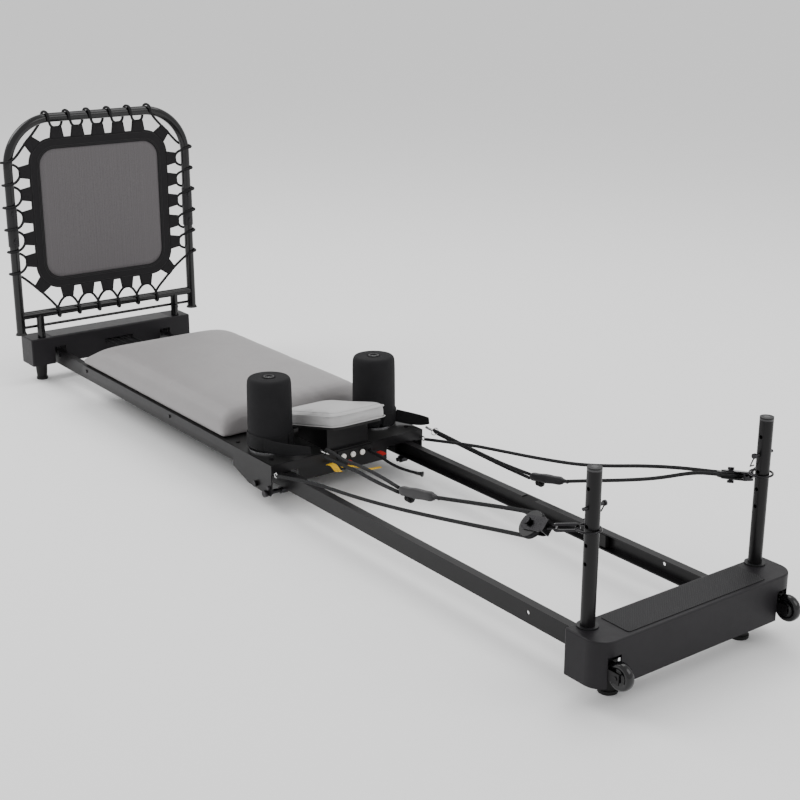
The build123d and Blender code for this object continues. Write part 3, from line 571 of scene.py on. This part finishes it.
def slab(half_x, half_y, corner, rings, count=220):
    """Closed cushion blank: the outline drawn in and lifted ring by ring, from the middle of the
    underside to the middle of the top. A ring is its inset from the edge and its height."""
    outline = rounded_outline(half_x, half_y, corner, count)
    inset, height = np.array(rings, float).T
    scale_x = 1 - inset[:, None] / half_x
    scale_y = 1 - np.minimum(inset[:, None], half_y) / half_y
    scale_x = np.where(inset[:, None] >= half_y, 0, scale_x)
    points = np.stack([outline[:, 0] * scale_x, outline[:, 1] * scale_y,
                       np.broadcast_to(height[:, None], (len(rings), count))], -1)
    return patch(points, ring_v=True)


def stuffed(blank, voxel, pressure, rise, floor_z):
    """Fills a blank: remeshed even, blown up by a cloth simulation, and each point's move held to
    the rise, with nothing pushed below the floor height. Then one subdivision."""
    remesh = blank.modifiers.new("even", "REMESH")
    remesh.mode = "VOXEL"
    remesh.voxel_size = voxel
    remesh.use_smooth_shade = True
    graph = bpy.context.evaluated_depsgraph_get()
    blank.data = bpy.data.meshes.new_from_object(blank.evaluated_get(graph))
    blank.modifiers.clear()
    rest = np.empty(len(blank.data.vertices) * 3)
    blank.data.vertices.foreach_get("co", rest)
    rest = rest.reshape(-1, 3)
    cloth = blank.modifiers.new("fill", "CLOTH")
    cloth.settings.use_pressure = True
    cloth.settings.uniform_pressure_force = pressure
    cloth.settings.effector_weights.gravity = 0
    cloth.settings.tension_stiffness = 40
    cloth.settings.compression_stiffness = 40
    cloth.settings.quality = 5
    cloth.point_cache.frame_end = 20
    for step in range(1, 21):
        bpy.context.scene.frame_set(step)
    graph = bpy.context.evaluated_depsgraph_get()
    swollen = np.empty(len(rest) * 3)
    blank.evaluated_get(graph).data.vertices.foreach_get("co", swollen)
    blank.modifiers.clear()
    bpy.context.scene.frame_set(1)
    move = swollen.reshape(-1, 3) - rest
    reach = np.linalg.norm(move, axis=1, keepdims=True)
    rest = rest + move * np.minimum(1, rise / np.maximum(reach, 1e-9))
    rest[:, 2] = np.maximum(rest[:, 2], floor_z)
    blank.data.vertices.foreach_set("co", rest.ravel())
    blank.data.shade_smooth()
    finer = blank.modifiers.new("finer", "SUBSURF")
    finer.levels = finer.render_levels = 1
    return blank


def vinyl(name, colour, pores):
    """Soft vinyl: a net of fine pores over broad, very shallow dimples, shiny on the raised skin. The colour
    follows the height: painted shade in the dimples and the pore net, lighter on the raised skin.
    """
    made = Finish(name, sheen_weight=.12, coat_weight=.04, coat_roughness=.4)
    colour = np.array(colour)
    cells = made.cells(pores, "DISTANCE_TO_EDGE")
    skin = cells.math("MINIMUM", .25) * 4
    broad = made.noise(14, 3)
    # Painted shade: the colour follows the bump height, darker in the dimples and the pore net.
    made.set("Base Color", made.blend(broad * .7 + skin * .3, colour * .86, colour * 1.08))
    made.set("Roughness", made.noise(70) * .14 + .36 - skin * .05)
    made.bump(skin * .75 + broad * 2.2, .00035, .5)
    return made.material


PAD_ENDS = (-.8895, -.1195)
PAD_HALF = .209
PAD_FLOOR = .1105
PAD_RISE = .0665
along = np.r_[np.linspace(0, .2, 28), np.linspace(.215, .705, 30), np.linspace(.712, .77, 16)]
foot_rise = (1 - (1 - np.minimum(along / .2, 1)) ** 2.6) ** .9
head_rise = (1 - (1 - np.minimum((.77 - along) / .05, 1)) ** 3) ** .6
corner = np.minimum(np.minimum(along, .77 - along) / .014, 1)
half = PAD_HALF - .014 * (1 - np.sqrt(1 - (1 - corner) ** 2))
share = np.sin(np.linspace(-np.pi / 2, np.pi / 2, 91))
arch = (1 - np.abs(share) ** 8.5) ** .52
groove = .0030 * np.exp(-((np.abs(share) - .885) / .022) ** 2)
top = .009 + (foot_rise * head_rise)[:, None] * ((PAD_RISE - .009) * arch - groove)
top[:, [0, -1]] = .004
across = half[:, None] * share
crown = np.stack([np.broadcast_to((PAD_ENDS[0] + along)[:, None], top.shape), across, PAD_FLOOR + top], -1)
sole = crown[:, ::-1].copy()
sole[..., 2] = PAD_FLOOR
grey_vinyl = vinyl("warm grey vinyl", (.245, .233, .234), 700)
shell = patch(np.concatenate([crown, sole[:, 1:-1]], 1), ring_v=True, lids=True)
pad = piece("bed_pad", [shell], grey_vinyl)
stuffed(pad, .006, 3.0, .0035, PAD_FLOOR)
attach(pad, "carriage")
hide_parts("main_pad")


# ---------------------------------------------------------------- headrest
# The headrest is a boxed cushion of paler vinyl on a hinged board. A stitched seam with a raised
# lip runs round its top edge, and the cushion leans on a wedge.
HEADREST_HINGE = np.array([-.0875, 0, .122])
HEADREST_SLOPE = math.radians(13.1)
HEADREST_HALF = (.1225, .073)
HEADREST_RISE = .0062
HEADREST_RINGS = [(.08, 0), (.03, 0), (.010, 0), (.003, .001), (.0004, .004), (0, .010), (0, .020),
                  (.0006, .0262), (.003, .0300), (.010, .0322), (.022, .0338), (.045, .0350), (.08, .0354)]


def leaned(points):
    """Turns points about the hinge line by the slope and sets them on it."""
    cos, sin = math.cos(HEADREST_SLOPE), math.sin(HEADREST_SLOPE)
    x, y, z = np.moveaxis(points, -1, 0)
    return np.stack([x * cos - z * sin, y, x * sin + z * cos], -1) + HEADREST_HINGE


silver_vinyl = vinyl("silver vinyl", (.43, .425, .425), 800)
blank = slab(*HEADREST_HALF, .026, HEADREST_RINGS)
headrest = piece("headrest_cushion", [blank], silver_vinyl)
stuffed(headrest, .004, 3.5, .003, 0)
flat = np.empty(len(headrest.data.vertices) * 3)
headrest.data.vertices.foreach_get("co", flat)
flat = flat.reshape(-1, 3) + np.array([HEADREST_HALF[0], 0, HEADREST_RISE])
headrest.data.vertices.foreach_set("co", leaned(flat).ravel())
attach(headrest, "headrest")
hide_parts("headrest_pad")

outline = rounded_outline(HEADREST_HALF[0] + .0006, HEADREST_HALF[1] + .0006, .0265, 260)
for name, height, radius in (("upper", .0268, .0013), ("lower", .0030, .0011)):
    ring = np.c_[outline, np.full(len(outline), height)] + np.array([HEADREST_HALF[0], 0, HEADREST_RISE])
    line = leaned(np.vstack([ring, ring[:2]]))
    welt = piece(f"headrest_welt_{name}", [tube(line, radius, (0, 0, 1), 8)], silver_vinyl, "headrest")

thread = coated("grey thread", (.20, .20, .20), .7, 900, .0001)
stitch_ring = rounded_outline(HEADREST_HALF[0] - .0085, HEADREST_HALF[1] - .0085, .02, 236)
dashes = np.stack([stitch_ring[0::2], (stitch_ring[0::2] * .45 + stitch_ring[1::2] * .55)], 1)
dashes = np.concatenate([dashes, np.full((len(dashes), 2, 1), .0330)], -1)
dashes = leaned(dashes + np.array([HEADREST_HALF[0], 0, HEADREST_RISE]))
stitches = piece("headrest_stitches", [tube(np.linspace(a, b, 3), .0006, (0, 0, 1), 6) for a, b in dashes],
                 thread, "headrest")


# ---------------------------------------------------------------- shoulder rollers
# Two thick sleeves of black closed-cell foam stand on steel posts. They are cut flat at the top,
# with a soft edge, and the post's capped end shows in the middle.
ROLLER = (-.0115, .145)
ROLLER_PROFILE = [(.0131, .117), (.045, .1165), (.0495, .119), (.0508, .124), (.0510, .150), (.0508, .200),
                  (.0505, .245), (.0501, .262), (.0492, .2700), (.0475, .2745), (.0450, .2770), (.041, .2780),
                  (.0175, .2780), (.0145, .2772), (.0131, .2745), (.0131, .117)]
PLUG_PROFILE = [(.0086, .2755), (.0128, .2755), (.0128, .2792), (.0116, .2798), (.0094, .2798),
                (.0086, .2790), (.0086, .2755)]
foam = Finish("black foam", roughness=.8, specular_ior_level=.15)
cells = foam.cells(1500)
# Colour: a random noise tone, and painted shade in the cell pores, which the cells also press in as bump.
shade = foam.noise(30, 4) * .6 + cells * .5
foam.set("Base Color", foam.blend(shade, (.007, .007, .0078), (.017, .0166, .018)))
foam.bump(cells, .00035, .5)
for side, y in (("near", -ROLLER[1]), ("far", ROLLER[1])):
    sleeve = turned(ROLLER_PROFILE, (ROLLER[0], y, 0), sides=72)
    roller = piece(f"foam_roller_{side}", [sleeve], foam.material, "carriage")
    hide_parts("shoulder_rollers")
    plug = piece(f"post_plug_{side}", [turned(PLUG_PROFILE, (ROLLER[0], y, 0))], cleat_plastic, "carriage")


# ---------------------------------------------------------------- shoulder straps
# Wide black polyester webbing passes round the foot of each roller and runs to the rope clip,
# where its end narrows into a sewn eye.
def webbing(name, colour, light, rib):
    """Woven strap: ribs across the weave, broken into twill steps along it. The colour follows the weave
    height: painted shade in the hollows, a painted highlight on the ribs.
    """
    made = Finish(name, roughness=.75, specular_ior_level=.2)
    along, across = made.uv()
    twill = ((along + across) * (2 * math.pi / rib)).sin() * .5 + .5
    warp = (across * (2 * math.pi / (rib * .55))).sin() * .5 + .5
    weave = twill * .6 + warp * .4
    # Painted shade and highlight: the colour follows the weave height, dark in the hollows and light on the
    # ribs.
    made.set("Base Color", made.blend(weave, colour, light))
    made.bump(weave, .0004, .7)
    return made.material


def ribbon(line, width, up, thick=.0022):
    """Flat strap: a thin rounded bar of the given width along the line, standing along up."""
    width = np.broadcast_to(width, len(line)) / 2
    return blade(line, np.full(len(line), thick / 2), width, up, corner=5, sides=28)


# The lighter colour is the painted highlight on the weave's ribs, the darker one painted shade in its
# hollows.
strap_web = webbing("black webbing", (.005, .005, .0055), (.014, .014, .015), .0028)
for side, sign, clip_end, level in (("near", -1, (.112, -.116), .134), ("far", 1, (.100, .2255), .131)):
    turn = np.linspace(.35, 2 * np.pi + .2, 90)
    ring = np.stack([ROLLER[0] + .0522 * np.cos(turn), sign * (ROLLER[1] - .0522 * np.sin(turn)),
                     level + .002 * np.sin(3 * turn)], -1)
    band = ribbon(ring, .034, (0, 0, 1))
    share = np.linspace(0, 1, 40)[:, None]
    start = np.array([ROLLER[0] + .036, sign * (ROLLER[1] + .0385), level])
    end = np.array([*clip_end, level - .002])
    line = start + share * (end - start) + np.array([0, sign * .006, -.004]) * np.sin(np.pi * share)
    tail = ribbon(line, .031 - .015 * share[:, 0] ** 3, (0, 0, 1))
    strap = piece(f"shoulder_strap_{side}", [band, tail], strap_web, "carriage")
    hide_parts("shoulder_straps")


# ---------------------------------------------------------------- cord hooks and pull tabs
# White nylon beads on the cord ends seat in the plate's slots. Yellow and red webbing tabs, sewn
# to the beads, mark each cord's strength and are what a hand pulls.
bead_nylon = coated("white nylon", (.78, .77, .74), .4, 700, .0001)
BEAD_PROFILE = [(0, .0986), (.0058, .0986), (.0066, .0995), (.0068, .1010), (.0064, .1026), (.0052, .1034),
                (.0026, .1036), (.0022, .1024), (0, .1022)]
beads = [turned(BEAD_PROFILE, (0, y, CORD_HEIGHT), axis="x", sides=28) for y in (-.020, .006, .032)]
made = piece("cord_beads", beads, bead_nylon, "carriage")
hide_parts("cord_ends")
TIP_PROFILE = [(0, -.009), (.0040, -.0088), (.0042, -.004), (.0043, .002), (.0052, .006), (.0066, .0086),
               (.0068, .0094), (.0062, .0100), (0, .0101)]
tip = turned(TIP_PROFILE, (0, 0, 0), axis="x", sides=28)
spin = math.radians(24)
ahead = tip[0][:, :1] * np.array([math.cos(spin), math.sin(spin), 0])
beside = tip[0][:, 1:2] * np.array([-math.sin(spin), math.cos(spin), 0]) + tip[0][:, 2:] * np.array([0, 0, 1])
tip = (ahead + beside + np.array([.2325, .095, .066]), *tip[1:])
made = piece("cord_tip", [tip], nylon, "carriage")
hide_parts("cord_ends")

share = np.linspace(0, 1, 30)
# Each tab lists its colour, a lighter copy of it that is the painted highlight on the weave's ribs, its width
# and its strip lines.
TABS = {
    "pull_tab_yellow": ((.80, .42, .01), (.95, .60, .04), .017, [
        (.0995 + .042 * share, -.062 + .004 * np.sin(3 * share),
         .0835 - .004 * share + .003 * np.sin(6 * share))]),
    "pull_ribbon_yellow": ((.75, .42, .01), (.95, .62, .05), .009, [
        (.120 + .020 * share, -.040 + .096 * share, .078 - .018 * share + .003 * np.sin(7 * share))]),
    "pull_tabs_red": ((.24, .004, .004), (.45, .012, .010), .015, [
        (.0985 + .017 * share, np.full(30, -.0095), .0810 - .003 * share ** 2),
        (.0985 + .019 * share, .079 + .004 * share, .0830 - .003 * share ** 2)]),
}
for name, (colour, light, width, lines) in TABS.items():
    tab_web = webbing(name.replace("_", " "), colour, light, .0022)
    strips = []
    for line in lines:
        line = np.stack(line, -1)
        strips.append(blade(line, np.full(30, width / 2), np.full(30, .0008), (0, 0, 1), corner=5))
    made = piece(name, strips, tab_web, "carriage")
    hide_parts("pull_tabs")


# ---------------------------------------------------------------- rebounder hoop
# The hoop is bent steel tube in two halves joined by sleeves, gloss black. Two stub posts under
# its crossbar drop into sockets in the foot base.
gloss = coated("gloss black enamel", (.004, .004, .0044), .16, 300, .00006, spread=.08, shine=.4)
dress(gloss, "hoop_upper", "hoop_lower")
dress(coated("sleeve paint", (.012, .0115, .013), .42, 500, .0001), "hoop_sleeves")
dress(coated("end cap rubber", (.012, .012, .012), .5, 500, .0001), "hoop_end_caps")


# ---------------------------------------------------------------- rebounder mat
# The mat is woven grey mesh in a sewn border of black webbing. Twenty-four webbing tabs are folded
# over and sewn to the border, and the bungee cord passes through their folds.
HOOP_X = -1.1415
MAT_Z = .478
MAT_HALF = .212
MESH_HALF = .181
TAB_PITCH = .062
TAB_LENGTH = .030

mesh_weave = Finish("grey woven mesh", roughness=.7, specular_ior_level=.25)
spots = mesh_weave.node("ShaderNodeSeparateXYZ", {}, {0: mesh_weave.place()})
weft = (Term(mesh_weave, spots.socket.node.outputs[1]) * (2 * math.pi / .0034)).sin()
warp = (Term(mesh_weave, spots.socket.node.outputs[2]) * (2 * math.pi / .0034)).sin()
threads = weft.math("ABSOLUTE").math("MAXIMUM", warp.math("ABSOLUTE"))
lane = {"W": Term(mesh_weave, spots.socket.node.outputs[1]) * 620, "Scale": 1.0, "Detail": 3.0}
streaks = mesh_weave.node("ShaderNodeTexNoise", {"noise_dimensions": "1D"}, lane) * .75
streaks = streaks + mesh_weave.noise(420, 2) * .5
# Colour: random streaks of thread tone, and painted shade at the weave's low points, which follow the thread
# height of the bump.
shade = threads * .5 + (streaks - .3) * .9
mesh_weave.set("Base Color", mesh_weave.blend(shade, (.012, .011, .012), (.150, .140, .145)))
mesh_weave.bump(threads, .0004, .6)

outline = rounded_outline(MESH_HALF + .0035, MESH_HALF + .0035, .048, 160)
depth = np.linspace(0, 1, 14)
bow = .0022 * (1 - depth ** 2)
points = np.stack([HOOP_X + np.broadcast_to(bow[:, None], (14, 160)), depth[:, None] * outline[:, 0],
                   MAT_Z + depth[:, None] * outline[:, 1]], -1)
mat = piece("rebounder_mat", [patch(points, ring_v=True)], mesh_weave.material, "rebounder", closed=False)
thickness = mat.modifiers.new("cloth thickness", "SOLIDIFY")
thickness.thickness = .0009
thickness.offset = 0
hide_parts("mat_mesh")

# The lighter colour is the painted highlight on the weave's ribs, the darker one painted shade in its
# hollows.
border_web = webbing("border webbing", (.006, .0055, .0062), (.017, .016, .0175), .0026)
inner = rounded_outline(MESH_HALF, MESH_HALF, .046, 240)
outer = rounded_outline(MAT_HALF, MAT_HALF, .072, 240)
half_rim = np.array([(.0017, 0), (.0021, .03), (.0022, .25), (.0018, .5), (.0022, .75), (.0021, .97),
                     (.0017, 1)])
rim = np.vstack([half_rim * (-1, 1), half_rim[::-1]])
across = rim[:, 1][:, None, None]
flat = inner[None] * (1 - across) + outer[None] * across
points = np.concatenate([np.broadcast_to(HOOP_X + rim[:, 0][:, None, None], (len(rim), 240, 1)), flat], -1)
points[..., 2] += MAT_Z
band = patch(points, ring_u=True, ring_v=True, span=(.08, 1.6))
border = piece("mat_border_band", [band], border_web, "rebounder")
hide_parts("mat_border")

grey_thread = coated("border thread", (.03, .03, .03), .7, 900, .0001)
seams = []
for half, corner in ((MESH_HALF + .004, .050), (MESH_HALF + .008, .053), (MAT_HALF - .005, .067)):
    for face in (-.0024, .0024):
        ring = rounded_outline(half, half, corner, 300)
        line = np.c_[np.full(300, HOOP_X + face), ring[:, 0], ring[:, 1] + MAT_Z]
        seams.append(tube(np.vstack([line, line[:2]]), .00045, (1, 0, 0), 5))
made = piece("mat_seams", seams, grey_thread, "rebounder")

quarters = np.arange(4) * np.pi / 2
outward = np.stack([np.cos(quarters), np.sin(quarters)], -1)
forward = np.stack([-np.sin(quarters), np.cos(quarters)], -1)
corner_reach = MAT_HALF * math.sqrt(2) - .072 * (math.sqrt(2) - 1)
steps = np.arange(-2, 3) * TAB_PITCH
roots, outs, ways = [], [], []
for out, way in zip(outward, forward):
    roots += [out * MAT_HALF + way * step for step in steps] + [(out + way) / math.sqrt(2) * corner_reach]
    outs += [out] * 5 + [(out + way) / math.sqrt(2)]
    ways += [way] * 5 + [(way - out) / math.sqrt(2)]
roots, outs, ways = np.array(roots), np.array(outs), np.array(ways)

half_fold = np.array([(-.004, .0016), (0, .0022), (.008, .0026), (.018, .0030), (.024, .0040),
                      (.0285, .0034)])
fold = np.vstack([half_fold, [(TAB_LENGTH, 0)], half_fold[::-1] * (1, -1)])
tabs = []
for place, (root, out, way) in enumerate(zip(roots, outs, ways)):
    width = np.linspace(-1, 1, 9)
    half = .0205 - .0060 * np.clip(fold[:, 0] / TAB_LENGTH, 0, 1)
    pucker = .0006 * np.sin(5 * width + place)[None] * np.clip(fold[:, 0] / .02, 0, 1)[:, None]
    flat = root + fold[:, 0][:, None, None] * out + (half[:, None] * width)[..., None] * way
    points = np.concatenate([(HOOP_X + fold[:, 1][:, None] + pucker)[..., None], flat], -1)
    points[..., 2] += MAT_Z
    tabs.append(patch(points, span=(.09, .04)))
made = piece("mat_tab_loops", tabs, border_web, "rebounder", closed=False)
thickness = made.modifiers.new("webbing thickness", "SOLIDIFY")
thickness.thickness = .0011
thickness.offset = 0
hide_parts("mat_tabs")


# ---------------------------------------------------------------- bungee lacing
# One long bungee cord holds the mat in the hoop. It goes through a tab's fold, over the front of
# the tube, round it and back to the next tab, all the way round the hoop.
BUNGEE = .0072
# The lighter colour is the painted highlight on the strand ridges, the darker one painted shade in the gaps.
bungee_finish = braid("black bungee cord", (.004, .004, .0045), (.015, .015, .016), .008, math.pi * BUNGEE, 4)
REACHES = (.272, .267, .272, .279)
TUBE_RADII = (.0127, .0127, .0127, .011)
lace_route = []
for quarter, (out, way) in enumerate(zip(outward, forward)):
    reach, tube_r = REACHES[quarter], TUBE_RADII[quarter]
    for number, stop in enumerate((-2.5, -1.5, -.5, .5, 1.5, 2.5)):
        lateral = stop * TAB_PITCH
        sleeved = quarter in (0, 2) and abs(lateral * (1 if quarter == 0 else -1)) < .04
        clear = tube_r + (.0024 if sleeved else 0) + BUNGEE / 2 + .0006
        hub = out * reach + way * lateral
        for step, normal, side_step in ((-.010, clear, -.004), (clear, clear, -.0015), (clear, -clear, .0015),
                                        (-.010, -clear, .004)):
            flat = hub + out * step + way * side_step
            lace_route.append((HOOP_X + normal, flat[0], flat[1] + MAT_Z))
        tab = quarter * 6 + number
        for side_step in (-.0125, .0125):
            flat = roots[tab] + outs[tab] * .0262 + ways[tab] * side_step
            lace_route.append((HOOP_X, flat[0], flat[1] + MAT_Z))
line = route_line("lace", lace_route, ring=True)
made = piece("bungee_lace", [tube(line, BUNGEE / 2, (1, 0, 0), 8)], bungee_finish, "rebounder")
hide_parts("bungee_lacing")


# ---------------------------------------------------------------- transport wheels
# Two hard black wheels on the outer face of the head base let one person tip the machine up and
# roll it. Each has a crowned tread and a domed hub cap.
WHEEL = (1.1755, .210, .072)
wheel_gloss = coated("gloss wheel plastic", (.0035, .0035, .004), .14, 300, .00005, spread=.08, shine=.4)
HALF_WHEEL = np.array([(.0042, -.0085), (.008, -.0092), (.0105, -.0088), (.0120, -.0072), (.0155, -.0070),
                       (.0195, -.0086), (.0228, -.0078), (.0246, -.0046)])
WHEEL_PROFILE = np.vstack([HALF_WHEEL, [(.0250, 0)], HALF_WHEEL[::-1] * (1, -1), HALF_WHEEL[:1]])
for side, y in (("near", -WHEEL[1]), ("far", WHEEL[1])):
    round_wheel = turned(WHEEL_PROFILE, (WHEEL[0], y, WHEEL[2]), axis="y")
    wheel = piece(f"roll_wheel_{side}", [round_wheel], wheel_gloss, f"transport_{side}")
    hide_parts(f"transport_wheel_{side}")
